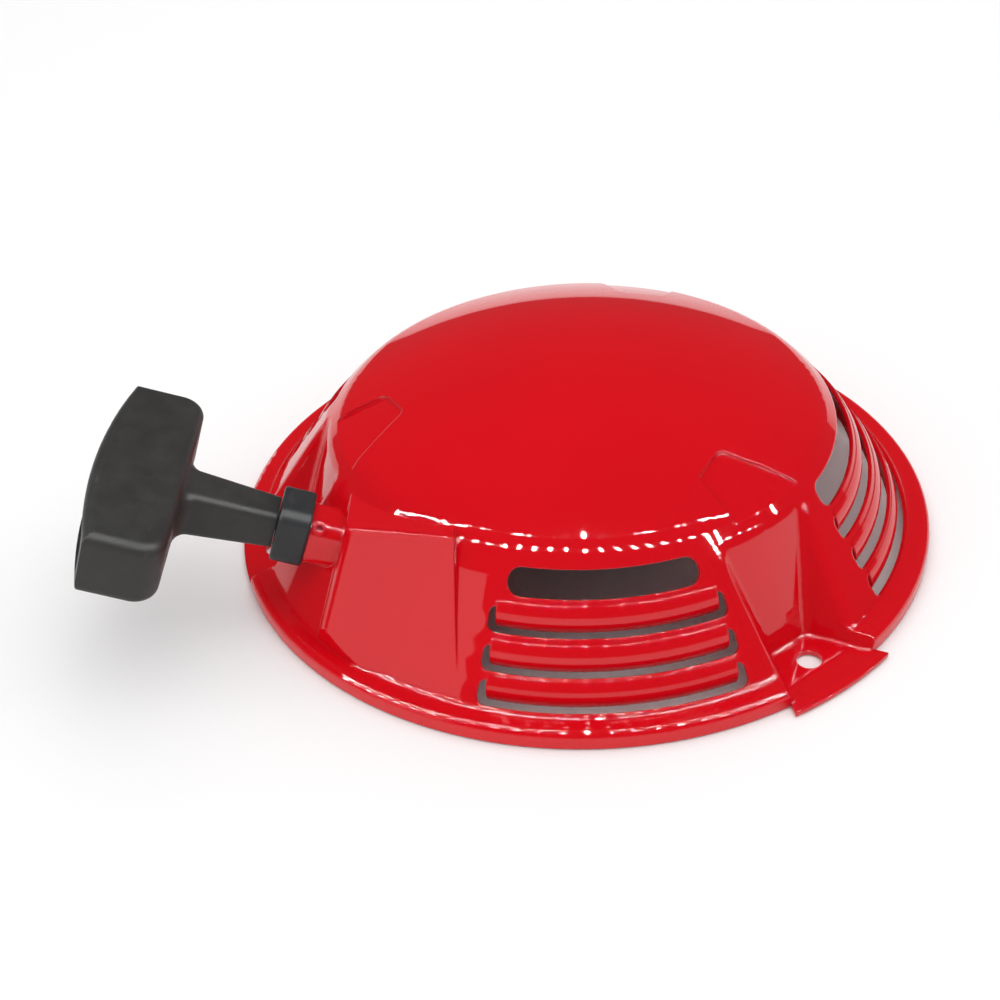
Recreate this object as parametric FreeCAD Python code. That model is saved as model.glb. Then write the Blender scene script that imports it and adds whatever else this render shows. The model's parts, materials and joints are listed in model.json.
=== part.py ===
"""Recoil starter for a small vertical-shaft mower engine.

Origin: centre of the mounting plane, on the crank axis. +Z runs up the crank axis to the dome.
The rope leaves the case towards -X. All sizes are in millimetres and all angles in degrees.
"""
import FreeCAD, Part
import math
import os
from FreeCAD import Rotation, Vector

os.makedirs("parts", exist_ok=True)

# ---- pressed steel case -------------------------------------------------------------------
SHEET = 1.2                    # painted sheet thickness
RIM_R = 102.8                  # outer radius of the rim lip
LAND_Z = 5.0                   # height of the flat land inside the lip
FOOT_R = 96.5                  # where the skirt leaves the land
SKIRT_R, SKIRT_Z = 75.9, 33.9  # top of the conical skirt
EDGE_R, EDGE_Z = 69.3, 40.6    # edge of the dome
DOME_TOP = 56.0                # top of the dome
LIP_ROUND, FOOT_ROUND, SKIRT_ROUND, EDGE_ROUND = 2.2, 2.5, 6.0, 11.0

# ---- three mounting tabs in their pockets ---------------------------------------------------
TAB_COUNT = 3
TAB_AZ = -49.5                 # direction of the first tab
TAB_THICK = 1.3
TAB_TIP_R = (106.8, 106.8, 102.6)               # the tab on the rope's side is trimmed to the rim
TAB_HOLE_PCR = 93.0            # hole centres, a 186 mm pitch circle
TAB_HOLE_D = 7.0
POCKET_BACK_R = 74.0           # back wall radius at POCKET_BACK_Z
POCKET_BACK_Z = 36.0
POCKET_BACK_SLOPE = 0.3226     # radius gained for each mm down the back wall
POCKET_START = 84.8            # radial place where the tab is POCKET_HALF wide each way
POCKET_HALF = 6.8
POCKET_SPREAD = 27.5           # how fast the pocket widens outwards
POCKET_LEAN = 21.0             # lean of its side walls from vertical
POCKET_CREASE, POCKET_FLOOR, POCKET_RIDGE = 3.5, 1.5, 3.5

# ---- cooling slots --------------------------------------------------------------------------
SLOT_WIDTH = 6.9               # along the skirt
SLOT_LOW = ((78.7, 30.0), (84.7, 21.8), (90.7, 13.4), (96.0, 5.9))
PANELS = ((-32.0, 52.4), (88.0, 172.4))
FRONT_PANEL = ((-105.3, -66.8), (-108.0, -63.2), (-108.0, -63.2), (-107.8, -63.2))
SLOT_END_R = 2.2
LIP_BEND_R = 5.9               # outside radius of the louvre lips
LIP_BEND = 72.0

# ---- rope exit ------------------------------------------------------------------------------
EXIT_X, EXIT_Y, EXIT_Z = -76.3, -42.8, 27.5   # middle of the nose's end face
EXIT_RISE = 18.0               # the rope leaves 18 degrees above the mounting plane
ROPE_D = 4.0
ROPE_Z = 27.0                  # height of the rope on the reel
NOSE_HALF = 6.9                # half the nose's width
NOSE_LOW, NOSE_HIGH = -8.0, 6.4                # nose's floor and roof, from the rope's line
NOSE_CORNER = 4.0
NOSE_REACH = 9.0               # nose in front of the fairing
FAIR_AZ, FAIR_LEAN = -116.8, 58.3    # outward direction of the fairing's flank, and its lean
FAIR_REACH = 83.87             # distance of the flank's plane from the origin
FAIR_ROOF = (-35.2, 0.0, 40.6)       # a point of its roof
FAIR_FALL = 0.168              # fall of the roof towards the rope exit
FAIR_END_X = -34.0
FAIR_BACK_Y = -31.0
RIVET_U, RIVET_R = -2.4, 1.3   # rivet that holds the rope guide, behind the nose's end face

# ---- starter inside -------------------------------------------------------------------------
POST_R = 7.0
REEL_R = 47.0
GROOVE_LOW, GROOVE_HIGH = 22.5, 31.5
COIL_R0, COIL_R1 = 29.3, 40.4
SPRING_R = 26.6
RUN_CLEAR = 0.05               # radial clearance of a running bore
PAWL_R = 17.5                  # pawl pivots from the crank axis
PAWL_POST_R = 3.5
PAWL_LOW, PAWL_HIGH = 15.2, 19.8

BUSH_R, REEL_TOP = 8.6, 46.0
SPRING_LOW, SPRING_HIGH = 37.4, 45.4          # recoil spring strip
PAWL_AZ = (60.0, 240.0)        # directions of the two ratchet posts
KNOT_AZ = 150.0                # direction of the knot that ties the rope to the reel
PEG_X, PEG_Y = PAWL_R + 1.8, -12.0             # ratchet peg, with its post on +X
PEG_LOW, PEG_R = 12.4, 1.5
PAWL_SWING = 26.0             # a ratchet's swing when it is out
GUIDE_TURN = 24.0              # how far the guide lags behind the reel
GUIDE_R, GUIDE_LOW = 25.0, 12.6
SPRING2_LOW = 9.6              # underside of the friction spring

# ---- grip -----------------------------------------------------------------------------------
GUIDE_THICK = 9.0
GRIP_GAP = 0.3
STEM_END = 35.8
BAR_DEPTH, BAR_CROWN, BAR_HALF, BAR_THICK = 20.9, 4.2, 36.5, 19.8

Z_AXIS = Vector(0, 0, 1)
ORIGIN = Vector(0, 0, 0)


def cyl(r, z0, z1, x=0.0, y=0.0):
    return Part.makeCylinder(r, z1 - z0, Vector(x, y, z0), Z_AXIS)


def ring(r0, r1, z0, z1):
    return cyl(r1, z0, z1).cut(cyl(r0, z0 - 1, z1 + 1))


def box(x0, x1, y0, y1, z0, z1):
    return Part.makeBox(x1 - x0, y1 - y0, z1 - z0, Vector(x0, y0, z0))


def turned(shape, angle):
    out = shape.copy()
    out.rotate(ORIGIN, Z_AXIS, angle)
    return out


def edges_where(shape, test):
    """Edges with all of three sample points passing the test."""
    found = []
    for e in shape.Edges:
        if e.Length < 0.05:
            continue
        a, b = e.ParameterRange
        if all(test(e.valueAt(a + (b - a) * k)) for k in (0.02, 0.5, 0.98)):
            found.append(e)
    return found


def rounded(shape, radius, test):
    picked = edges_where(shape, test)
    if not picked:
        print("no edge to round", radius)
        return shape
    try:
        out = shape.makeFillet(radius, picked)
        if out.isValid() and out.Solids:
            return out.Solids[0] if len(out.Solids) == 1 else out
    except Exception as problem:
        print("rounding left out:", radius, problem)
        return shape
    print("rounding left out, not valid:", radius)
    return shape


def solid_of(shape):
    """The one solid inside a shape."""
    if shape.ShapeType == "Solid":
        return shape
    if shape.Solids:
        return max(shape.Solids, key=lambda x: x.Volume)
    return Part.Solid(shape.Shells[0])


def revolved(face):
    return face.revolve(ORIGIN, Z_AXIS, 360)


def face_of(points):
    """A flat face in the XZ plane from (r, z) points."""
    v = [Vector(r, 0, z) for r, z in points]
    return Part.Face(Part.makePolygon(v + [v[0]]))


# ---- case -------------------------------------------------------------------------------------
DOME_R = (EDGE_R ** 2 + (DOME_TOP - EDGE_Z) ** 2) / (2 * (DOME_TOP - EDGE_Z))


def dome_z(r, down=0.0):
    """Height of the dome surface, or of one parallel to it and lower."""
    rad = DOME_R - down
    return DOME_TOP - DOME_R + math.sqrt(rad * rad - r * r)


def case_section():
    """Outside of the case as half a section, carried past the axis so that it can be offset."""
    past = -20.0
    foot, top, edge = (FOOT_R, LAND_Z), (SKIRT_R, SKIRT_Z), (EDGE_R, EDGE_Z)
    line = [(past, -30.0), (RIM_R, -30.0), (RIM_R, LAND_Z), foot, top, edge]
    v = [Vector(r, 0, z) for r, z in line]
    parts = [Part.LineSegment(v[i], v[i + 1]).toShape() for i in range(len(v) - 1)]
    mid, end = Vector(30, 0, dome_z(30)), Vector(past, 0, dome_z(past))
    parts.append(Part.Arc(v[-1], mid, end).toShape())
    parts.append(Part.LineSegment(end, v[0]).toShape())
    return Part.Face(Part.Wire(parts))


def case_body(inset):
    """Solid of revolution of the case's outside, or of its inside when inset is the sheet."""
    face = case_section()
    if inset:
        face = face.makeOffset2D(-inset, 2, False, False, True)
    floor = -20.0 if inset else 0.0
    keep = face_of([(0, floor), (200, floor), (200, 90), (0, 90)])
    body = solid_of(revolved(face.common(keep).Faces[0]))
    body = turned(body, 90)
    for azimuth in tab_angles():
        body = body.cut(turned(pocket_tool(inset), azimuth))
    body = body.removeSplitter()
    for azimuth in tab_angles():
        body = ridge_rounding(body, azimuth, inset)

    def corner(r, z):
        return lambda p: abs(math.hypot(p.x, p.y) - r) < 1.6 + inset and abs(p.z - z) < 1.2 + inset
    body = rounded(body, EDGE_ROUND - inset, corner(EDGE_R, EDGE_Z))
    body = rounded(body, SKIRT_ROUND - inset, corner(SKIRT_R, SKIRT_Z))
    body = rounded(body, FOOT_ROUND + inset, corner(FOOT_R, LAND_Z))
    body = rounded(body, LIP_ROUND - inset, corner(RIM_R, LAND_Z))
    return body


def ridge_rounding(body, azimuth, inset):
    """Rounds the two ridges between the skirt and the sides of a pocket."""
    local = turned(body, -azimuth)
    nr, nz = skirt_normal()
    reach = SKIRT_R * nr + SKIRT_Z * nz - inset

    def on_ridge(p):
        skirt = abs(math.hypot(p.x, p.y) * nr + p.z * nz - reach) < 0.02
        side = abs(abs(p.y) - pocket_side(p.x, p.z, inset)) < 0.02
        return p.x > 60 and abs(p.y) < 30 and skirt and side
    return turned(rounded(local, POCKET_RIDGE - inset, on_ridge), azimuth)


def pocket_side(radial, z, grow):
    """Half width of a pocket at a place, square to its middle plane."""
    b, lean = math.radians(POCKET_SPREAD), math.radians(POCKET_LEAN)
    flat = POCKET_HALF + (radial - POCKET_START) * math.tan(b)
    return flat + (z - TAB_THICK) * math.tan(lean) / math.cos(b) + grow / (math.cos(lean) * math.cos(b))


def pocket_back(z, grow=0.0):
    return POCKET_BACK_R + (POCKET_BACK_Z - z) * POCKET_BACK_SLOPE - grow * math.hypot(1, POCKET_BACK_SLOPE)


def pocket_tool(grow):
    """What a tab's pocket takes out of the case, pointing along +X."""
    z0 = TAB_THICK if not grow else -12.0
    z1, out = 62.0, 130.0
    near0, near1 = (79.0, 58.0) if not grow else (82.0, 56.0)
    rings = []
    for z, near in ((z0, near0), (z1, near1)):
        h0, h1 = pocket_side(near, z, grow), pocket_side(out, z, grow)
        corners = [Vector(near, -h0, z), Vector(out, -h1, z), Vector(out, h1, z), Vector(near, h0, z)]
        rings.append(Part.makePolygon(corners + [corners[0]]))
    wedge = Part.makeLoft(rings, True, True)
    low, high = -20.0, 75.0
    core = revolved(face_of([(0, low), (pocket_back(low, grow), low), (pocket_back(high, grow), high), (0, high)]))
    tool = wedge.cut(core)

    def crease(p):
        r = math.hypot(p.x, p.y)
        on_back = abs(r - pocket_back(p.z, grow)) < 0.05
        return on_back and abs(abs(p.y) - pocket_side(p.x, p.z, grow)) < 0.05
    tool = rounded(tool, POCKET_CREASE + grow, crease)
    if not grow:
        tool = rounded(tool, POCKET_FLOOR, lambda p: abs(p.z - TAB_THICK) < 0.01 and p.x < 120)
    return tool


def exit_frame():
    """Origin and axes of the rope exit: along the pull, to the far side, and up."""
    e = math.radians(EXIT_RISE)
    return (Vector(EXIT_X, EXIT_Y, EXIT_Z), Vector(-math.cos(e), 0, math.sin(e)), Vector(0, 1, 0),
            Vector(math.sin(e), 0, math.cos(e)))


def exit_point(u, v, w):
    o, du, dv, dw = exit_frame()
    return o + du * u + dv * v + dw * w


def placed_at_exit(shape):
    """Moves a shape made with the pull along +X, far side along +Y and up along +Z to the exit."""
    out = shape.mirror(ORIGIN, Vector(1, 0, 0))
    out.rotate(ORIGIN, Vector(0, 1, 0), EXIT_RISE)
    out.translate(Vector(EXIT_X, EXIT_Y, EXIT_Z))
    return out


def beyond(point, normal):
    """A large block on the far side of a plane."""
    size = 400.0
    block = Part.makeBox(size, size, size, Vector(-size / 2, -size / 2, 0))
    block.Placement = FreeCAD.Placement(point, Rotation(Z_AXIS, normal))
    return block


def rounded_bar(x0, x1, half_y, half_z, corner):
    bar = box(x0, x1, -half_y, half_y, -half_z, half_z)
    long_edges = [e for e in bar.Edges if abs(e.tangentAt(0).x) > 0.9]
    return bar.makeFillet(corner, long_edges)


def skirt_normal():
    slope = (SKIRT_Z - LAND_Z) / (FOOT_R - SKIRT_R)
    rise = math.atan(1 / slope)
    return math.cos(rise), math.sin(rise)


def fairing(inset):
    """The bulge that carries the skirt straight on to the rope exit."""
    a, lean = math.radians(FAIR_AZ), math.radians(FAIR_LEAN)
    flank = Vector(math.cos(a) * math.sin(lean), math.sin(a) * math.sin(lean), math.cos(lean))
    roof = Vector(-FAIR_FALL, 0, 1)
    roof.normalize()
    body = box(-120, FAIR_END_X - inset, -130, FAIR_BACK_Y - inset, -20, 60)
    body = body.cut(beyond(flank * (FAIR_REACH - inset), flank))
    body = body.cut(beyond(Vector(*FAIR_ROOF) - roof * inset, roof))
    o, du, dv, dw = exit_frame()
    body = body.cut(beyond(exit_point(-NOSE_REACH - inset, 0, 0), du))
    body = body.common(cyl(FOOT_R + 0.8 - inset, -20, 80))
    return rounded(body, 4.0 - inset, lambda p: p.z > 8 and math.hypot(p.x, p.y) > 74)


def nose_bar(x0, x1, inset):
    bar = rounded_bar(x0, x1, NOSE_HALF - inset, (NOSE_HIGH - NOSE_LOW) / 2 - inset, NOSE_CORNER - inset)
    bar.translate(Vector(0, 0, (NOSE_HIGH + NOSE_LOW) / 2))
    return bar


def nose(inset):
    return placed_at_exit(nose_bar(-40, 5 if inset else 0, inset))


def recess_tool():
    """Shallow three-sided dish that each pocket leaves in the edge of the dome."""
    depth = 0.9
    plan = [(52.0, 4.5), (56.0, -7.5), (95.0, -7.5), (95.0, 38.5)]
    v = [Vector(x, y, 20) for x, y in plan]
    prism = Part.Face(Part.makePolygon(v + [v[0]])).extrude(Vector(0, 0, 60))
    ball = Part.makeSphere(DOME_R - depth, Vector(0, 0, DOME_TOP - DOME_R))
    side = [e for e in prism.Edges if abs(e.tangentAt(0).z) > 0.9 and e.valueAt(0).x < 60]
    return prism.makeFillet(3.0, side).cut(ball)


def slot_section(low, width):
    """Corners of a slot's cutter in (r, z), long across the sheet."""
    nr, nz = skirt_normal()
    up = (-nz, nr)
    lo, hi = low, (low[0] + up[0] * width, low[1] + up[1] * width)
    out, back = 7.0, -4.0
    return [(lo[0] + nr * out, lo[1] + nz * out), (hi[0] + nr * out, hi[1] + nz * out),
            (hi[0] + nr * back, hi[1] + nz * back), (lo[0] + nr * back, lo[1] + nz * back)]


def swept(face, a0, a1):
    """Turns an XZ face from azimuth a0 to a1."""
    return turned(face, a0).revolve(ORIGIN, Z_AXIS, a1 - a0)


def slot_tool(index, span):
    first = index == 0
    width = SLOT_WIDTH + (0.9 if first else 0)
    tool = swept(face_of(slot_section(SLOT_LOW[index], width)), *span)
    tool = solid_of(tool)
    ends = [e for e in tool.Edges if e.Length < 11.5 and abs(e.Length - 11.0) < 0.2]
    return tool.makeFillet(width * 0.46 if first else SLOT_END_R, ends)


def lip(index, span):
    """The louvre lip rolled inwards from a slot's upper edge."""
    nr, nz = skirt_normal()
    low = SLOT_LOW[index]
    top = (low[0] - nz * SLOT_WIDTH, low[1] + nr * SLOT_WIDTH)
    cx, cz = top[0] - nr * LIP_BEND_R, top[1] - nz * LIP_BEND_R

    def at(radius, deg):
        t = math.radians(deg)
        return Vector(cx + radius * (nr * math.cos(t) + nz * math.sin(t)), 0,
                      cz + radius * (nz * math.cos(t) - nr * math.sin(t)))
    r0, r1 = LIP_BEND_R - SHEET, LIP_BEND_R
    back = 1.5
    a, b = at(r1, 0), at(r0, 0)
    up = Vector(-nz * back, 0, nr * back)
    lines = [Part.LineSegment(a + up, a).toShape(),
             Part.Arc(a, at(r1, LIP_BEND / 2), at(r1, LIP_BEND)).toShape(),
             Part.LineSegment(at(r1, LIP_BEND), at(r0, LIP_BEND)).toShape(),
             Part.Arc(at(r0, LIP_BEND), at(r0, LIP_BEND / 2), b).toShape(),
             Part.LineSegment(b, b + up).toShape(), Part.LineSegment(b + up, a + up).toShape()]
    trim = 1.3
    shape = swept(Part.Face(Part.Wire(lines)), span[0] + trim, span[1] - trim)
    return solid_of(shape)


def tab_angles():
    return [TAB_AZ + 360.0 * k / TAB_COUNT for k in range(TAB_COUNT)]


def tab_plate(tip):
    near, far, under = 80.0, 112.0, 1.2
    h0, h1 = pocket_side(near, TAB_THICK, 0) + under, pocket_side(far, TAB_THICK, 0) + 0.4
    v = [Vector(near, -h0, 0), Vector(far, -h1, 0), Vector(far, h1, 0), Vector(near, h0, 0)]
    plate = Part.Face(Part.makePolygon(v + [v[0]])).extrude(Vector(0, 0, TAB_THICK))
    return plate.common(cyl(tip, -1, 5))


def slots():
    """(slot number, azimuth span) of every slot."""
    spans = [(k, s) for s in PANELS for k in range(len(SLOT_LOW))]
    return spans + list(enumerate(FRONT_PANEL))


def case_shell():
    outer = case_body(0.0)
    outer = outer.cut([turned(recess_tool(), a) for a in tab_angles()])
    outer = outer.fuse([fairing(0.0), nose(0.0)])
    inner = case_body(SHEET).fuse([fairing(SHEET), nose(SHEET)])
    shell = outer.cut(inner)
    shell = solid_of(shell.cut([slot_tool(k, span) for k, span in slots()]))
    holes = [turned(cyl(TAB_HOLE_D / 2, -2, 4, TAB_HOLE_PCR, 0), a) for a in tab_angles()]
    shell = shell.fuse([turned(tab_plate(tip), a) for tip, a in zip(TAB_TIP_R, tab_angles())]).cut(holes)
    shell = shell.cut(rivet_axis_bar(RIVET_R, -20, 20))
    shell = shell.fuse([lip(k, span) for k, span in slots() if k > 0])
    return solid_of(shell)


# ---- rope guide in the nose -----------------------------------------------------------------
def rivet_axis_bar(radius, low, high):
    """A bar along the rivet that holds the guide, through the nose's upper near corner."""
    base = exit_point(RIVET_U, 0, 0)
    away = exit_point(RIVET_U, -1, 1) - base
    away.normalize()
    return Part.makeCylinder(radius, high - low, base + away * low, away)


def rope_guide():
    """Moulded block outside the nose, with a spigot that fills the nose's open end."""
    block = rounded_bar(0.0, GUIDE_THICK, 8.0, 9.1, 4.0)
    block = rounded(block, 0.9, lambda p: abs(p.x - GUIDE_THICK) < 0.01 or abs(p.x) < 0.01)
    guide = block.fuse(nose_bar(-7.0, 0.5, SHEET + 0.1))
    hole = ROPE_D / 2 + 0.9
    bore = Part.makeCylinder(hole, 60, Vector(-0.8, 0, 0), Vector(1, 0, 0))
    level = Part.makeCylinder(hole, 14, Vector(1.0, 0, -0.1), Vector(-9.0, 0, 2.15))
    mouth = Part.makeCone(hole, 4.2, 1.8, Vector(GUIDE_THICK - 1.7, 0, 0), Vector(1, 0, 0))
    guide = guide.cut(bore).cut(level).cut(mouth)
    guide = placed_at_exit(guide)
    return solid_of(guide.cut(rivet_axis_bar(RIVET_R, 0, 30)))


def guide_rivet():
    """Small tubular rivet through the nose wall into the guide's spigot."""
    reach = (NOSE_HALF + NOSE_HIGH) / math.sqrt(2) - NOSE_CORNER * (math.sqrt(2) - 1)
    body = rivet_axis_bar(RIVET_R, reach - 3.2, reach)
    head = rivet_axis_bar(2.1, reach, reach + 0.9)
    rim = [e for e in head.Edges if e.Length > 12]
    head = head.makeFillet(0.4, [max(rim, key=lambda e: e.CenterOfMass.z)])
    dimple = rivet_axis_bar(0.8, reach - 1.5, reach + 3)
    return solid_of(body.fuse(head).cut(dimple))


def rope_path(points, bend):
    """Straight runs joined by a tangent arc at each inner point."""
    edges, start = [], points[0]
    for i in range(1, len(points) - 1):
        p = points[i]
        a, b = (points[i - 1] - p), (points[i + 1] - p)
        half = a.getAngle(b) / 2
        a.normalize()
        b.normalize()
        run = bend / math.tan(half)
        t0, t1 = p + a * run, p + b * run
        mid_dir = a + b
        mid_dir.normalize()
        mid = p + mid_dir * (bend / math.sin(half) - bend)
        edges += [Part.LineSegment(start, t0).toShape(), Part.Arc(t0, mid, t1).toShape()]
        start = t1
    edges.append(Part.LineSegment(start, points[-1]).toShape())
    return Part.Wire(edges)


def tube(path, radius):
    edge = path.Edges[0]
    p0 = edge.valueAt(edge.FirstParameter)
    p1 = path.Vertexes[0].Point
    away = edge.tangentAt(edge.FirstParameter) if p0.distanceToPoint(p1) < 1e-6 else edge.tangentAt(0) * -1
    circle = Part.Wire(Part.makeCircle(radius, p1, away))
    return solid_of(path.makePipeShell([circle], True, False, 2))


def rope_run():
    """Rope from the reel through the guide, up to the grip."""
    o, du, dv, dw = exit_frame()
    back = (EXIT_Z - ROPE_Z) / du.z
    corner = exit_point(-back, 0, 0)
    path = rope_path([Vector(0, EXIT_Y, ROPE_Z), corner, exit_point(GUIDE_THICK, 0, 0)], 14.0)
    return tube(path, ROPE_D / 2)


# ---- grip -------------------------------------------------------------------------------------
def rounded_section(x, half_y, half_z, corner):
    bar = rounded_bar(x, x + 1, half_y, half_z, corner)
    face = min(bar.Faces, key=lambda f: f.CenterOfMass.x)
    return face.OuterWire


def grip_solid():
    """T-shaped moulded handle, hollow from the palm side."""
    start = GUIDE_THICK + GRIP_GAP
    stem = Part.makeLoft([rounded_section(start, 5.4, 5.9, 2.2), rounded_section(STEM_END + 2, 7.5, 7.4, 2.6)],
                         True, True)
    back, crown = STEM_END + BAR_DEPTH, STEM_END + BAR_DEPTH + BAR_CROWN
    a, b = Vector(STEM_END, -BAR_HALF, 0), Vector(back, -BAR_HALF, 0)
    c, d = Vector(back, BAR_HALF, 0), Vector(STEM_END, BAR_HALF, 0)
    outline = Part.Wire([Part.LineSegment(a, b).toShape(), Part.Arc(b, Vector(crown, 0, 0), c).toShape(),
                         Part.LineSegment(c, d).toShape(), Part.LineSegment(d, a).toShape()])
    bar = Part.Face(outline).extrude(Vector(0, 0, BAR_THICK))
    bar.translate(Vector(0, 0, -BAR_THICK / 2))
    upright = [e for e in bar.Edges if abs(e.tangentAt(e.FirstParameter).z) > 0.9]
    bar = bar.makeFillet(7.0, [e for e in upright if e.CenterOfMass.x < STEM_END + 1])
    bar = rounded(bar, 3.0, lambda p: abs(abs(p.z) - BAR_THICK / 2) < 0.01)
    body = solid_of(stem.fuse(bar).removeSplitter())
    body = rounded(body, 4.5, lambda p: abs(p.x - STEM_END) < 0.05 and abs(p.y) < 9)
    hollow = box(STEM_END + 5.5, crown + 5, -BAR_HALF + 3.4, BAR_HALF - 3.4, -BAR_THICK / 2 + 3.2, BAR_THICK / 2 - 3.2)
    hollow = hollow.makeFillet(3.0, [e for e in hollow.Edges if abs(e.tangentAt(0).x) > 0.9])
    bore = Part.makeCylinder(ROPE_D / 2 + 0.6, 60, Vector(start - 1, 0, 0), Vector(1, 0, 0))
    return placed_at_exit(solid_of(body.cut([hollow, bore])))


SEAT_U = STEM_END + 5.5


def knot_washer():
    washer = Part.makeCylinder(6.0, 1.2, Vector(SEAT_U, 0, 0), Vector(1, 0, 0))
    return placed_at_exit(washer.cut(Part.makeCylinder(ROPE_D / 2 + 0.1, 3, Vector(SEAT_U - 1, 0, 0), Vector(1, 0, 0))))


def rope_tail():
    start = GUIDE_THICK + GRIP_GAP
    return placed_at_exit(Part.makeCylinder(ROPE_D / 2, SEAT_U + 1.2 - start, Vector(start, 0, 0), Vector(1, 0, 0)))


def grip_knot():
    """Pulled-tight knot behind the washer: three lobes round the rope and a short free end."""
    base = SEAT_U + 1.2
    lobes = []
    for k in range(3):
        a = math.radians(120 * k + 20)
        lobes.append(Part.makeSphere(3.9, Vector(base + 3.9 + 0.8 * k, 2.2 * math.cos(a), 2.2 * math.sin(a))))
    neck = Part.makeCylinder(ROPE_D / 2, 4.0, Vector(base, 0, 0), Vector(1, 0, 0))
    end = Part.makeCylinder(ROPE_D / 2, 6.0, Vector(base + 5.0, 0, 0), Vector(0.8, 0.6, 0))
    return placed_at_exit(solid_of(neck.fuse(lobes + [end])))


# ---- post, reel and spring ----------------------------------------------------------------------
def under_dome(shape, gap=0.0):
    """Trims a shape to the inside surface of the dome."""
    ball = Part.makeSphere(DOME_R - SHEET - gap, Vector(0, 0, DOME_TOP - DOME_R))
    return solid_of(shape.common(ball))


def centre_post():
    """Flanged steel post welded under the dome, slotted for the spring's inner end."""
    flange = cyl(20.0, 51.0, 58.0)
    boss = Part.makeCone(POST_R, 10.5, 3.0, Vector(0, 0, 48.2), Z_AXIS)
    post = under_dome(flange.fuse([boss, cyl(POST_R, PAWL_LOW, 52.0)]))
    thread = cyl(2.6, 10.0, 34.0)
    slot = box(5.2, 9.0, -0.8, 0.8, 37.2, 47.5)
    return solid_of(post.cut([thread, slot]))


def recoil_spring():
    """Flat clock spring: a hook in the post's slot, the coils, and a hook in the reel's wall."""
    turns, r0, r1, thick = 9.0, POST_R + 0.5, SPRING_R - 1.4, 0.7
    steps = int(turns * 20)

    def spiral(extra):
        pts = []
        for i in range(steps + 1):
            t = i / steps
            a = math.radians(360.0 * turns * t)
            r = r0 + (r1 - r0) * t + extra
            pts.append(Vector(r * math.cos(a), r * math.sin(a), 0))
        curve = Part.BSplineCurve()
        curve.interpolate(pts)
        return curve.toShape(), pts
    inside, ip = spiral(0.0)
    outside, op = spiral(thick)
    wire = Part.Wire([inside, Part.LineSegment(ip[-1], op[-1]).toShape(), outside,
                      Part.LineSegment(op[0], ip[0]).toShape()])
    strip = Part.Face(wire).extrude(Vector(0, 0, SPRING_HIGH - SPRING_LOW))
    strip.translate(Vector(0, 0, SPRING_LOW))
    tongue = box(5.6, r0 + 0.4, -0.35, 0.35, SPRING_LOW, SPRING_HIGH)
    hook = box(r1 + 0.2, SPRING_R + 0.9, -0.5, 0.5, SPRING_LOW, SPRING_HIGH)
    return solid_of(strip.fuse([tongue, hook]))


def reel():
    """Moulded rope reel: groove, spring chamber above, open ribbed underside with two posts."""
    low, web = GROOVE_LOW - 2.2, SPRING_LOW - 2.6
    body = cyl(REEL_R, low, GROOVE_HIGH + 1.9).fuse(cyl(SPRING_R + 2.6, low, REEL_TOP))
    body = body.cut(ring(COIL_R0, REEL_R + 5, GROOVE_LOW, GROOVE_HIGH))
    body = body.cut([cyl(SPRING_R, SPRING_LOW - 0.4, REEL_TOP + 5), ring(12.5, SPRING_R - 1.0, low - 1, web),
                     cyl(13.0, low - 1, low + 0.9)])
    angles = [15 + 45 * k for k in range(8)]
    ribs = [turned(box(11.5, SPRING_R, -0.8, 0.8, low + 1.4, web + 0.5), a) for a in angles]
    posts = [turned(cyl(PAWL_POST_R, PAWL_LOW - 0.1, low + 1, PAWL_R, 0), a) for a in PAWL_AZ]
    stops = [turned(pawl_stop(), a) for a in PAWL_AZ]
    body = body.fuse(ribs + posts + stops + [pawl_bosses(PAWL_HIGH + 0.2, web + 0.5)])
    notch = box(SPRING_R - 1, SPRING_R + 1.1, -0.8, 0.8, SPRING_LOW - 0.4, REEL_TOP + 5)
    holes = [turned(cyl(2.6, low - 1, GROOVE_HIGH + 5, 43.0, 0), 30 + 60 * k) for k in range(6)]
    knot_room = turned(cyl(4.2, GROOVE_LOW, GROOVE_HIGH, COIL_R0 - 3.0, 0), KNOT_AZ)
    body = body.cut([cyl(BUSH_R, low - 5, REEL_TOP), notch, knot_room] + holes)
    return solid_of(body.removeSplitter())


def pawl_bosses(z0, z1):
    """The two pads that carry the pawl posts."""
    pads = [turned(cyl(6.5, z0, z1, PAWL_R, 0), a) for a in PAWL_AZ]
    return pads[0].fuse(pads[1:])


def pawl_stop():
    """Lug on the reel's underside that a folded ratchet rests against."""
    return box(13.6, 16.2, -14.5, -11.5, PAWL_LOW + 0.6, SPRING_LOW - 2)


def reel_bush():
    return ring(POST_R + RUN_CLEAR, BUSH_R, GROOVE_LOW - 1.3, SPRING_LOW - 0.4)


def rope_coil():
    """The rope as wound: two turns side by side in each layer, the outer pair showing round."""
    r = ROPE_D / 2
    z = [GROOVE_LOW + 0.25 + r, GROOVE_HIGH - 0.25 - r]
    core = ring(COIL_R0 + 0.02, COIL_R1 - r, z[0] - r, z[1] + r)
    turns = [Part.makeTorus(COIL_R1 - r, r, Vector(0, 0, zz), Z_AXIS) for zz in z]
    room = turned(cyl(4.2, GROOVE_LOW - 1, GROOVE_HIGH + 5, COIL_R0 - 3.0, 0), KNOT_AZ)
    return solid_of(core.fuse(turns).cut(room))


def reel_knot():
    centre = Vector(COIL_R0 - 3.0, 0, (GROOVE_LOW + GROOVE_HIGH) / 2)
    lobes = [Part.makeSphere(2.4, centre + Vector(0.6 * dx, 0, dz)) for dx, dz in ((1, -1.5), (-1, 0), (1, 1.5))]
    return turned(solid_of(lobes[0].fuse(lobes[1:])), KNOT_AZ)


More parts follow.
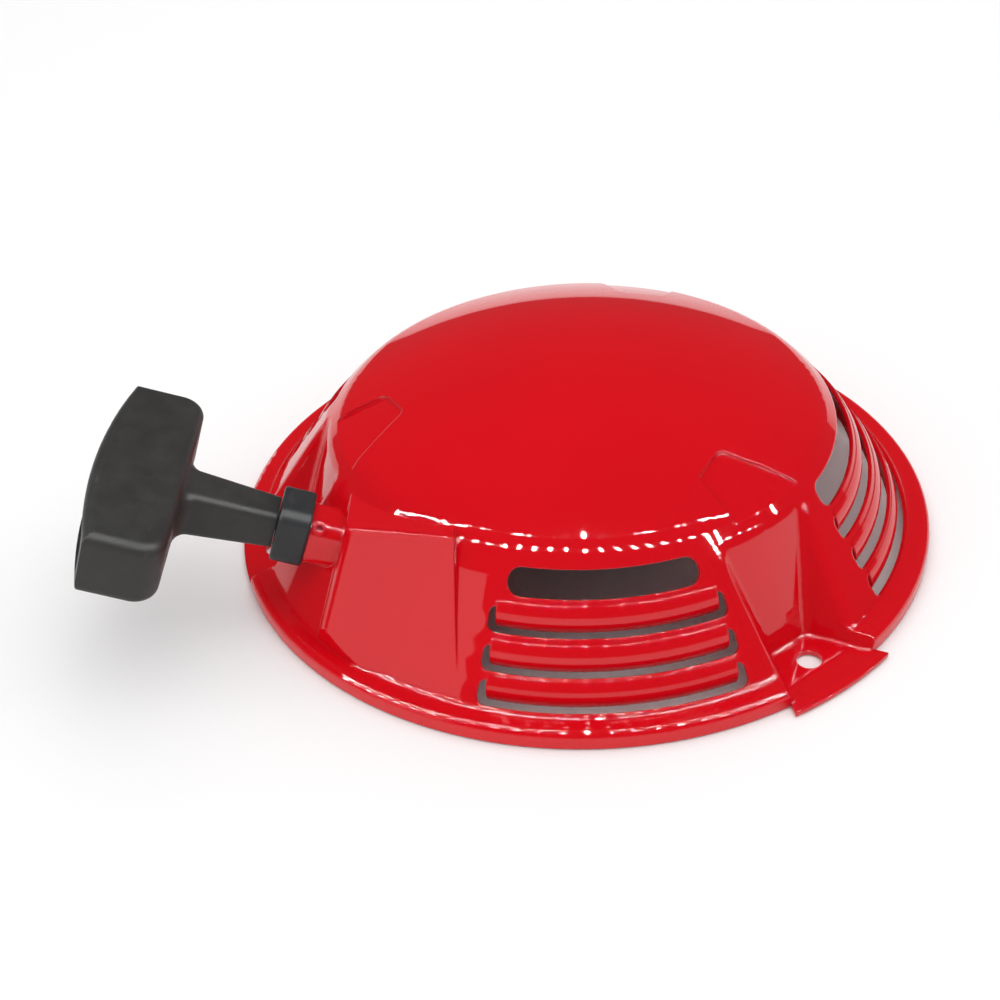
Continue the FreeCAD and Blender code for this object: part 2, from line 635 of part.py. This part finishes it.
# ---- ratchets, their guide and the screw ---------------------------------------------------------
def ratchet():
    """Ratchet on a post at PAWL_R on +X, its tooth leading; a peg below rides in the guide."""
    hub = cyl(6.0, PAWL_LOW, PAWL_HIGH, PAWL_R, 0)
    outline = [(6.0, 0.0), (6.3, -8.0), (7.2, -15.5), (2.6, -18.4), (1.5, -16.0), (0.3, -6.0), (0.0, 0.0)]
    v = [Vector(PAWL_R + x, y, PAWL_LOW) for x, y in outline]
    arm = Part.Face(Part.makePolygon(v + [v[0]])).extrude(Vector(0, 0, PAWL_HIGH - PAWL_LOW))
    body = solid_of(hub.fuse(arm))
    tip = [e for e in body.Edges if abs(e.tangentAt(e.FirstParameter).z) > 0.9 and e.CenterOfMass.y < -10]
    body = body.makeFillet(0.8, tip)
    peg = cyl(PEG_R, PEG_LOW, PAWL_LOW + 1, PEG_X, PEG_Y)
    return solid_of(body.fuse(peg).cut(cyl(PAWL_POST_R + RUN_CLEAR, PAWL_LOW - 5, PAWL_HIGH + 5, PAWL_R, 0)))


def ratchet_spring():
    """Wire spring that folds a ratchet in: a part turn round the reel's pad and two legs."""
    z, r = PAWL_HIGH + 0.65, 0.35
    rad = 6.5 + r + 0.15
    ends = [math.radians(d) for d in (0, 80, 160)]
    arc = [Vector(PAWL_R + rad * math.cos(t), rad * math.sin(t), z) for t in ends]
    leg0 = arc[0] + Vector(math.sin(ends[0]), -math.cos(ends[0]), 0) * 5.0
    leg1 = arc[2] + Vector(-math.sin(ends[2]), math.cos(ends[2]), 0) * 4.0
    path = Part.Wire([Part.LineSegment(leg0, arc[0]).toShape(), Part.Arc(*arc).toShape(),
                      Part.LineSegment(arc[2], leg1).toShape()])
    return tube(path, r)


def ratchet_guide():
    """Stamped friction plate with a raised centre and an open curved slot for each peg."""
    hub_top = PAWL_LOW - 0.35
    disc = cyl(GUIDE_R, GUIDE_LOW, GUIDE_LOW + 1.6).fuse(cyl(10.6, GUIDE_LOW, hub_top))
    body = disc.cut([cyl(3.3, GUIDE_LOW - 5, hub_top + 5), cyl(9.0, GUIDE_LOW - 1, hub_top - 1.6)])
    return solid_of(body.cut([turned(peg_slot(), a) for a in PAWL_AZ]))


def peg_slot():
    """Where a peg goes as the guide turns back and the ratchet swings out."""
    cuts = []
    steps = 12
    for i in range(steps + 1):
        f = i / steps
        swing = math.radians(PAWL_SWING * f)
        x, y = PEG_X - PAWL_R, PEG_Y
        px = PAWL_R + x * math.cos(swing) - y * math.sin(swing)
        py = x * math.sin(swing) + y * math.cos(swing)
        back = math.radians(-GUIDE_TURN * f)
        gx, gy = px * math.cos(back) - py * math.sin(back), px * math.sin(back) + py * math.cos(back)
        cuts.append(cyl(PEG_R + 0.4, GUIDE_LOW - 1, PAWL_LOW, gx, gy))
    return cuts[0].fuse(cuts[1:])


def friction_spring():
    """Short coil spring that presses the guide against the post's end."""
    wire_r, rad, turns, rise = 0.45, 5.6, 2, 2.3
    steps = 16 * turns
    points = []
    for i in range(steps + 1):
        a = math.radians(360 * turns * i / steps)
        points.append(Vector(rad * math.cos(a), rad * math.sin(a), rise * i / steps))
    curve = Part.BSplineCurve()
    curve.interpolate(points)
    start = curve.tangent(curve.FirstParameter)[0]
    circle = Part.Wire(Part.makeCircle(wire_r, points[0], start))
    coil = Part.Wire([curve.toShape()]).makePipeShell([circle], True, True)
    coil.translate(Vector(0, 0, SPRING2_LOW + wire_r + 0.05))
    return solid_of(coil)


def thrust_washer():
    return ring(3.1, 9.0, SPRING2_LOW - 1.3, SPRING2_LOW)


def centre_screw():
    """M6 flanged hexagon screw from below, into the post."""
    flange_top = SPRING2_LOW - 1.3
    shank = cyl(2.55, flange_top - 1, 30.0)
    flange = cyl(6.5, flange_top - 1.2, flange_top)
    across, height = 10.0, 4.0
    hexagon = [Vector(across / math.sqrt(3) * math.cos(math.radians(60 * k)),
                      across / math.sqrt(3) * math.sin(math.radians(60 * k)), 0) for k in range(7)]
    head = Part.Face(Part.makePolygon(hexagon)).extrude(Vector(0, 0, height))
    head.translate(Vector(0, 0, flange_top - 1.2 - height))
    bevel = Part.makeCone(across / 2 * 0.92, across / 2 * 1.3, height, Vector(0, 0, flange_top - 1.2 - height), Z_AXIS)
    return solid_of(shank.fuse([flange, head.common(bevel)]))


def save(name, shape):
    body = solid_of(shape)
    if not body.isValid():
        print("not valid:", name)
    body.exportStep("parts/" + name + ".step")
    print(name, round(body.Volume / 1000, 2), "cm3")


def main():
    save("case_shell", case_shell())
    save("rope_guide", rope_guide())
    save("guide_rivet", guide_rivet())
    save("rope_run", rope_run())
    save("grip", grip_solid())
    save("rope_tail", rope_tail())
    save("grip_knot", grip_knot())
    save("knot_washer", knot_washer())
    save("centre_post", centre_post())
    save("recoil_spring", recoil_spring())
    save("reel", reel())
    save("reel_bush", reel_bush())
    save("rope_coil", rope_coil())
    save("reel_knot", reel_knot())
    for letter, a in zip("ab", PAWL_AZ):
        save("ratchet_" + letter, turned(ratchet(), a))
        save("ratchet_spring_" + letter, turned(ratchet_spring(), a))
    save("ratchet_guide", ratchet_guide())
    save("friction_spring", friction_spring())
    save("thrust_washer", thrust_washer())
    save("centre_screw", centre_screw())


main()
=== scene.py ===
import json
import math

import bmesh
import bpy
import numpy as np
from mathutils import Matrix, Vector


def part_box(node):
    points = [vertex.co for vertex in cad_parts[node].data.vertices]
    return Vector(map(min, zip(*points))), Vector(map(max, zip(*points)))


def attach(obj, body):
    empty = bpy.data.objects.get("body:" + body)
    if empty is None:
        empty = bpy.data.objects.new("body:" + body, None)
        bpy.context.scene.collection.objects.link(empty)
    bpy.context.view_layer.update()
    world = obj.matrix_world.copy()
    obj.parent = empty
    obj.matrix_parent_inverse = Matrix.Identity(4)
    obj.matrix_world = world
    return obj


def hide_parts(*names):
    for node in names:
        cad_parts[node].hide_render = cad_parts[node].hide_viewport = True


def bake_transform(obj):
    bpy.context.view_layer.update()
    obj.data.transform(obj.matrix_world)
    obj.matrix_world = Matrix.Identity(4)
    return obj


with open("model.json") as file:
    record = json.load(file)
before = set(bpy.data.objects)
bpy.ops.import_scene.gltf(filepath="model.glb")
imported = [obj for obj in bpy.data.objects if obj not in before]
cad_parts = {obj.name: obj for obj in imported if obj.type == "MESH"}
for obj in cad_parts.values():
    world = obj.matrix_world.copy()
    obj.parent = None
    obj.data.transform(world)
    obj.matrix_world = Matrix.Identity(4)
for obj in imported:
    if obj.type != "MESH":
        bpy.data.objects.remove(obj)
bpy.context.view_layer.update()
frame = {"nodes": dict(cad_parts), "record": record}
scene = bpy.context.scene
nodes = frame["nodes"]

# ---- the rope's line, in metres, as in part.py -------------------------------------------------
EXIT = Vector((-0.0763, -0.0428, 0.0275))
EXIT_RISE = math.radians(18.0)
ALONG = Vector((-math.cos(EXIT_RISE), 0, math.sin(EXIT_RISE)))
ACROSS = Vector((0, 1, 0))
UPWARD = Vector((math.sin(EXIT_RISE), 0, math.cos(EXIT_RISE)))
ROPE_Z = 0.027
TAIL_END = 0.0425              # the grip knot's washer, along the pull
STRETCH = (0.0075, 0.0108)     # the stretch of rope that pays out as the grip is pulled
PULL = 0.7

STRIP_RISES = (60.0, 88.0)     # elevation of the two rows of ceiling lights
STRIP_LIGHTS, STRIP_STEP, STRIP_FAR = 27, 4.8, 0.62
LED_WIDE, LED_DEEP, LED_POWER = 0.009, 0.045, 0.26
FLOOR_DROP = 0.0004            # the floor lies this far under the foot
DIFFUSE_LEVEL, GLOSSY_LEVEL = 0.82, 0.10       # the world's strength by kind of ray

# ---- the braid, in metres ----------------------------------------------------------------------
BRAID_PITCH = 0.0116
CORE_R = 0.00118
STRAND_RING, STRAND_WAVE = 0.00142, 0.00016    # radius of the strands' middles, and its swing
STRAND_THICK, STRAND_WIDE = 0.00042, 0.00080   # half the strand's thickness and width
ROPE_STEP, COIL_STEP, KNOT_STEP = 0.0006, 0.00072, 0.0005
PULLED_STEP = 0.0015           # between the rings of the stretch that pays out
BEND_REACH = 0.004             # the corner's curve starts and ends this far from it


# ---- camera and stage -----------------------------------------------------------------------
def make_camera():
    data = bpy.data.cameras.new("camera")
    data.sensor_width = 36.0
    data.lens = 64.8
    data.clip_start = 0.01
    obj = bpy.data.objects.new("camera", data)
    scene.collection.objects.link(obj)
    right = Vector((0.99875553, 0.02569275, -0.04274654))
    up = Vector((0.01930473, 0.59113017, 0.80634512))
    back = Vector((0.045986, -0.80616686, 0.58989854))
    turn = Matrix((right, up, back)).transposed().to_4x4()
    obj.matrix_world = Matrix.Translation(Vector((0.0, -0.4403207, 0.3273563))) @ turn
    scene.camera = obj


def area_light(name, place, target, size, power, size_y=None):
    data = bpy.data.lights.new(name, "AREA")
    data.energy = power
    data.size = size
    if size_y:
        data.shape = "RECTANGLE"
        data.size_y = size_y
    obj = bpy.data.objects.new(name, data)
    scene.collection.objects.link(obj)
    away = Vector(place) - Vector(target)
    facing = away.to_track_quat("Z", "Y").to_matrix().to_4x4()
    obj.matrix_world = Matrix.Translation(Vector(place)) @ facing
    return obj


def make_stage():
    bm = bmesh.new()
    bmesh.ops.create_grid(bm, x_segments=8, y_segments=8, size=3.0)
    mesh = bpy.data.meshes.new("floor")
    bm.to_mesh(mesh)
    bm.free()
    floor = bpy.data.objects.new("floor", mesh)
    floor.location.z = -FLOOR_DROP
    scene.collection.objects.link(floor)
    mat = bpy.data.materials.new("floor_white")
    mat.use_nodes = True
    p = mat.node_tree.nodes["Principled BSDF"]
    p.inputs["Base Color"].default_value = (0.94, 0.94, 0.94, 1)
    p.inputs["Roughness"].default_value = 0.85
    mesh.materials.append(mat)

    world = bpy.data.worlds.new("tent")
    world.use_nodes = True
    tree = world.node_tree
    bg = tree.nodes["Background"]
    bg.inputs["Color"].default_value = (1.0, 1.0, 1.0, 1)
    path = tree.nodes.new("ShaderNodeLightPath")
    level = tree.nodes.new("ShaderNodeMapRange")
    level.inputs["To Min"].default_value = DIFFUSE_LEVEL
    level.inputs["To Max"].default_value = GLOSSY_LEVEL
    tree.links.new(path.outputs["Is Glossy Ray"], level.inputs["Value"])
    tree.links.new(level.outputs["Result"], bg.inputs["Strength"])
    scene.world = world
    soft = area_light("top_soft", (0.1, -0.1, 1.1), (0, 0, 0), 1.2, 3.3)
    soft.visible_glossy = False
    area_light("left_soft", (-0.9, -0.7, 0.45), (0, 0, 0.02), 0.5, 0.8)
    area_light("back_soft", (0.0, 1.1, 0.8), (0, 0.5, 0), 1.0, 1.7).visible_glossy = False
    for row, rise in enumerate(STRIP_RISES):
        for k in range(STRIP_LIGHTS):
            side = math.radians((k - STRIP_LIGHTS // 2) * STRIP_STEP)
            up = math.radians(rise)
            place = Vector((math.tan(side), -math.cos(up), math.sin(up))) * STRIP_FAR
            reach = 1 / math.cos(side)
            led = area_light(f"led_{row}_{k}", place, (0, 0, 0), LED_WIDE * reach,
                             LED_POWER * reach ** 2, size_y=LED_DEEP * reach)
            led.visible_diffuse = False
    scene.view_settings.view_transform = "Standard"
    scene.view_settings.look = "None"


# ---- materials ------------------------------------------------------------------------------
class Mat:
    """A principled material built node by node in object space, in metres."""

    def __init__(self, name, colour, roughness, metallic=0.0):
        self.mat = bpy.data.materials.new(name)
        self.mat.use_nodes = True
        self.tree = self.mat.node_tree
        self.out = self.tree.nodes["Principled BSDF"]
        self.colour = (*colour, 1)
        self.out.inputs["Base Color"].default_value = self.colour
        self.out.inputs["Roughness"].default_value = roughness
        self.out.inputs["Metallic"].default_value = metallic
        coord = self.tree.nodes.new("ShaderNodeTexCoord")
        self.place = coord.outputs["Object"]
        self.height = None

    def soften(self, radius, coat=False):
        """Rounds the look of sharp edges by a radius in metres."""
        b = self.node("ShaderNodeBevel", samples=6)
        b.inputs["Radius"].default_value = radius
        self.height = b.outputs["Normal"]
        self.link(self.height, self.out.inputs["Normal"])
        if coat:
            self.link(self.height, self.out.inputs["Coat Normal"])

    def node(self, kind, **props):
        n = self.tree.nodes.new(kind)
        for k, v in props.items():
            setattr(n, k, v)
        return n

    def link(self, a, b):
        self.tree.links.new(a, b)

    def noise(self, scale, detail=3.0, rough=0.5, stretch=None):
        n = self.node("ShaderNodeTexNoise")
        n.inputs["Scale"].default_value = scale
        n.inputs["Detail"].default_value = detail
        n.inputs["Roughness"].default_value = rough
        if stretch:
            m = self.node("ShaderNodeMapping")
            m.inputs["Scale"].default_value = stretch
            self.link(self.place, m.inputs["Vector"])
            self.link(m.outputs["Vector"], n.inputs["Vector"])
        else:
            self.link(self.place, n.inputs["Vector"])
        return n.outputs["Fac"]

    def spread(self, value, low, high, out_low, out_high):
        r = self.node("ShaderNodeMapRange")
        r.inputs["From Min"].default_value = low
        r.inputs["From Max"].default_value = high
        r.inputs["To Min"].default_value = out_low
        r.inputs["To Max"].default_value = out_high
        self.link(value, r.inputs["Value"])
        return r.outputs["Result"]

    def tint(self, fac, other):
        """Mixes the base colour towards another by a factor."""
        mix = self.node("ShaderNodeMix", data_type="RGBA")
        mix.inputs["A"].default_value = self.colour
        source = self.out.inputs["Base Color"]
        if source.is_linked:
            self.link(source.links[0].from_socket, mix.inputs["A"])
        mix.inputs["B"].default_value = (*other, 1)
        self.link(fac, mix.inputs["Factor"])
        self.link(mix.outputs["Result"], source)

    def rough(self, fac, low, high):
        self.link(self.spread(fac, 0.25, 0.75, low, high), self.out.inputs["Roughness"])

    def bump(self, fac, depth, strength=1.0):
        """Depth in metres."""
        b = self.node("ShaderNodeBump")
        b.inputs["Strength"].default_value = strength
        b.inputs["Distance"].default_value = depth
        self.link(fac, b.inputs["Height"])
        if self.height is not None:
            self.link(self.height, b.inputs["Normal"])
        self.height = b.outputs["Normal"]
        self.link(self.height, self.out.inputs["Normal"])


def red_paint():
    m = Mat("red_paint", (0.68, 0.0025, 0.0085), 0.34)
    m.out.inputs["Coat Weight"].default_value = 1.0
    m.out.inputs["Coat Roughness"].default_value = 0.03
    m.out.inputs["Coat IOR"].default_value = 1.5
    m.out.inputs["Specular IOR Level"].default_value = 0.0
    m.soften(0.0007, coat=True)
    slow = m.noise(14.0, 2.0)
    m.tint(m.spread(slow, 0.35, 0.7, 0.0, 0.35), (0.56, 0.002, 0.0085))
    m.bump(m.noise(420.0, 2.0), 0.000012)
    dust = m.noise(2600.0, 2.0, 0.7)
    m.tint(m.spread(dust, 0.74, 0.82, 0.0, 0.18), (0.80, 0.10, 0.09))
    m.rough(m.noise(60.0, 4.0), 0.28, 0.42)
    return m.mat


def moulded(name, colour, light, roughness=0.48):
    m = Mat(name, colour, roughness)
    m.out.inputs["Specular IOR Level"].default_value = 0.3
    m.soften(0.0006)
    m.tint(m.spread(m.noise(45.0, 4.0), 0.3, 0.75, 0.0, 0.6), light)
    scuff = m.noise(90.0, 6.0, 0.7, (1.0, 0.25, 1.0))
    m.tint(m.spread(scuff, 0.62, 0.78, 0.0, 0.35), tuple(min(1.0, c * 2.2) for c in light))
    m.rough(m.noise(160.0, 4.0), roughness - 0.08, roughness + 0.10)
    m.bump(m.noise(2200.0, 2.0), 0.00004)
    m.bump(m.noise(120.0, 2.0), 0.00008)
    return m.mat


def steel(name, colour, roughness, stretch):
    m = Mat(name, colour, roughness, 1.0)
    grain = m.noise(900.0, 3.0, 0.6, stretch)
    m.tint(m.spread(grain, 0.3, 0.7, 0.0, 0.5), tuple(c * 0.72 for c in colour))
    m.tint(m.spread(m.noise(35.0, 4.0), 0.55, 0.8, 0.0, 0.4), tuple(c * 0.55 for c in colour))
    m.rough(grain, roughness - 0.08, roughness + 0.12)
    m.bump(grain, 0.00002)
    return m.mat


def rope_fibre():
    """Spun fibre: fine fuzz and a little soil on the braided strands."""
    m = Mat("rope_fibre", (0.60, 0.585, 0.545), 0.85)
    m.out.inputs["Sheen Weight"].default_value = 0.3
    m.tint(m.spread(m.noise(260.0, 4.0), 0.42, 0.75, 0.0, 0.5), (0.40, 0.38, 0.35))
    m.tint(m.spread(m.noise(4200.0, 3.0, 0.7), 0.5, 0.8, 0.0, 0.5), (0.28, 0.27, 0.25))
    m.bump(m.noise(5200.0, 3.0, 0.7), 0.00012)
    return m.mat


def make_materials():
    return {
        "red_paint": red_paint(),
        "black_moulding": moulded("black_moulding", (0.022, 0.024, 0.026), (0.040, 0.042, 0.044), 0.42),
        "grip_moulding": moulded("grip_moulding", (0.028, 0.0265, 0.025), (0.046, 0.044, 0.041), 0.45),
        # reel: black plastic, its colour set darker than black_moulding as painted shade for the shadowed
        # inside of the case
        "reel_moulding": moulded("reel_moulding", (0.011, 0.011, 0.012), (0.022, 0.022, 0.023), 0.55),
        "zinc_steel": steel("zinc_steel", (0.60, 0.60, 0.57), 0.34, (1.0, 1.0, 6.0)),
        "spring_steel": steel("spring_steel", (0.26, 0.28, 0.33), 0.30, (1.0, 1.0, 10.0)),
        "ratchet_steel": steel("ratchet_steel", (0.40, 0.39, 0.37), 0.38, (1.0, 1.0, 1.0)),
        "bush_bronze": steel("bush_bronze", (0.52, 0.36, 0.17), 0.4, (1.0, 1.0, 4.0)),
        "rope_fibre": rope_fibre(),
    }


# ---- rope -----------------------------------------------------------------------------------
def exit_at(u, v=0.0, w=0.0):
    return EXIT + ALONG * u + ACROSS * v + UPWARD * w


def carried_frames(line):
    """Tangent and two normals at each point, carried along the line without twist."""
    tangent = np.gradient(line, axis=0)
    tangent /= np.linalg.norm(tangent, axis=1)[:, None]
    side = np.zeros_like(line)
    first = np.cross(tangent[0], (0.0, 0.0, 1.0))
    side[0] = first / np.linalg.norm(first)
    for i in range(1, len(line)):
        s = side[i - 1] - tangent[i] * (side[i - 1] @ tangent[i])
        side[i] = s / np.linalg.norm(s)
    return tangent, side, np.cross(tangent, side)


def tube_mesh(rings):
    """Vertices and faces of one closed tube, from an array of rings by points."""
    count, around = rings.shape[:2]
    faces = []
    for i in range(count - 1):
        for j in range(around):
            k = (j + 1) % around
            faces.append((i * around + j, i * around + k, (i + 1) * around + k, (i + 1) * around + j))
    faces.append(tuple(reversed(range(around))))
    faces.append(tuple((count - 1) * around + j for j in range(around)))
    return rings.reshape(-1, 3), faces


def braided(name, line, grown=None, around=8, scale=1.0, pitch=BRAID_PITCH):
    """Eight strands, four each way, over and under each other round a core.

    grown is the length of rope at each point, where that isn't the line's own length."""
    line = np.asarray(line, float)
    if grown is None:
        grown = np.concatenate([[0.0], np.cumsum(np.linalg.norm(np.diff(line, axis=0), axis=1))])
    tangent, side, up = carried_frames(line)
    turn = 2 * np.pi * grown / pitch
    vertices, faces, start = [], [], 0
    ring = 2 * np.pi * np.arange(around) / around

    def add(rings):
        nonlocal start
        v, f = tube_mesh(rings)
        vertices.append(v)
        faces.extend(tuple(i + start for i in face) for face in f)
        start += len(v)

    core = CORE_R * scale
    add(line[:, None] + core * (np.cos(ring)[None, :, None] * side[:, None]
                                + np.sin(ring)[None, :, None] * up[:, None]))
    for way in (1, -1):
        radius = scale * (STRAND_RING + way * STRAND_WAVE * np.cos(4 * turn))
        for k in range(4):
            angle = way * turn + k * np.pi / 2
            out = np.cos(angle)[:, None] * side + np.sin(angle)[:, None] * up
            across = -np.sin(angle)[:, None] * side + np.cos(angle)[:, None] * up
            middle = line + radius[:, None] * out
            add(middle[:, None] + scale * (
                STRAND_THICK * np.cos(ring)[None, :, None] * out[:, None]
                + STRAND_WIDE * np.sin(ring)[None, :, None] * across[:, None]))
    mesh = bpy.data.meshes.new(name)
    mesh.from_pydata(np.concatenate(vertices).tolist(), [], faces)
    mesh.polygons.foreach_set("use_smooth", [True] * len(mesh.polygons))
    mesh.materials.append(mats["rope_fibre"])
    mesh.update()
    obj = bpy.data.objects.new(name, mesh)
    scene.collection.objects.link(obj)
    return obj


def spaced(line, step):
    """The same line with points a step apart."""
    line = np.asarray(line, float)
    along = np.concatenate([[0.0], np.cumsum(np.linalg.norm(np.diff(line, axis=0), axis=1))])
    at = np.linspace(0, along[-1], max(2, int(round(along[-1] / step)) + 1))
    return np.stack([np.interp(at, along, line[:, k]) for k in range(3)], axis=1)


def make_pull_rope():
    """From the reel through the guide to the grip's knot; its middle pays out with the pull."""
    back = (EXIT.z - ROPE_Z) / ALONG.z
    corner = exit_at(-back)
    before, after = corner + Vector((BEND_REACH, 0, 0)), corner + ALONG * BEND_REACH
    bend = [before * (1 - t) ** 2 + corner * 2 * t * (1 - t) + after * t ** 2
            for t in np.linspace(0, 1, 13)]
    lead = spaced([Vector((0, EXIT.y, ROPE_Z)), *bend, exit_at(STRETCH[0])], ROPE_STEP)
    tail = spaced([exit_at(STRETCH[1]), exit_at(TAIL_END)], ROPE_STEP)
    gap = STRETCH[1] - STRETCH[0]
    rings = int((PULL + STRETCH[1] - STRETCH[0]) / PULLED_STEP)
    even = np.linspace(0, 1, rings + 2)[1:-1]
    t = np.linspace(0, 1, 4001)
    out = (gap * t + PULL * t * t * (3 - 2 * t)) / (gap + PULL)
    t_even = np.interp(even, out, t)
    middle = np.array([exit_at(STRETCH[0] + gap * x) for x in t_even])
    line = np.concatenate([lead, middle, tail])
    step = np.linalg.norm(np.diff(line, axis=0), axis=1)
    first = len(lead) - 1
    step[first:first + rings + 1] = (gap + PULL) / (rings + 1)
    grown = np.concatenate([[0.0], np.cumsum(step)])
    rope = braided("rope", line, grown)
    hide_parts("rope_run", "rope_tail")
    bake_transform(rope)
    return rope


def make_wound_rope():
    """The rope on the reel: three layers of two turns, in to the knot."""
    stops = [(0.0, 42.8, 27.0), (0.2, 38.4, 29.25), (0.95, 38.4, 29.25), (1.15, 38.4, 24.75),
             (1.95, 38.4, 24.75), (2.15, 34.9, 24.75), (2.95, 34.9, 24.75), (3.15, 34.9, 29.25),
             (3.95, 34.9, 29.25), (4.15, 31.4, 29.25), (4.95, 31.4, 29.25), (5.15, 31.4, 24.75),
             (5.52, 31.4, 24.75), (5.667, 27.0, 27.0)]
    turns, radii, heights = np.array(stops).T
    at = np.linspace(0, turns[-1], 2400)
    index = np.clip(np.searchsorted(turns, at, side="right") - 1, 0, len(turns) - 2)
    t = (at - turns[index]) / (turns[index + 1] - turns[index])
    t = t * t * (3 - 2 * t)
    radius = radii[index] + (radii[index + 1] - radii[index]) * t
    height = heights[index] + (heights[index + 1] - heights[index]) * t
    angle = -np.pi / 2 + 2 * np.pi * at
    line = np.stack([radius * np.cos(angle), radius * np.sin(angle), height], axis=1) / 1000
    rope = braided("rope_wound", spaced(line, COIL_STEP), around=6)
    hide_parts("rope_coil")
    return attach(rope, "reel")


def knotted(name, centre, axes, size, scale):
    """A pulled-tight overhand knot, its hole along the first axis."""
    t = np.linspace(0.15, 2 * np.pi - 0.15, 260)
    flat = [(np.sin(t) + 2 * np.sin(2 * t)) / 3, (np.cos(t) - 2 * np.cos(2 * t)) / 3, -np.sin(3 * t)]
    a, b, c = (np.array(v, float) for v in axes)
    line = (np.array(centre, float) + size * (flat[0][:, None] * b + flat[1][:, None] * c)
            + 0.55 * size * flat[2][:, None] * a)
    return braided(name, spaced(line, KNOT_STEP), scale=scale)


def make_knots():
    place = exit_at(TAIL_END + 0.0045)
    knot = knotted("grip_end_knot", place, (ALONG, ACROSS, UPWARD), 0.0040, 0.95)
    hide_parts("grip_knot")
    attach(knot, "grip")
    low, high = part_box("reel_knot")
    middle = (Vector(low) + Vector(high)) / 2
    outward = Vector((middle.x, middle.y, 0)).normalized()
    knot = knotted("reel_end_knot", middle, (outward, Vector((0, 0, 1)), outward.cross(Vector((0, 0, 1)))),
                   0.0019, 0.7)
    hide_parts("reel_knot")
    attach(knot, "reel")


make_camera()
make_stage()
mats = make_materials()
slot_of = {s["node"]: s["material_slot"] for s in frame["record"]["subparts"]}
for name, obj in nodes.items():
    for slot in obj.material_slots:
        slot.material = mats[slot_of[name]]

make_pull_rope()
make_wound_rope()
make_knots()
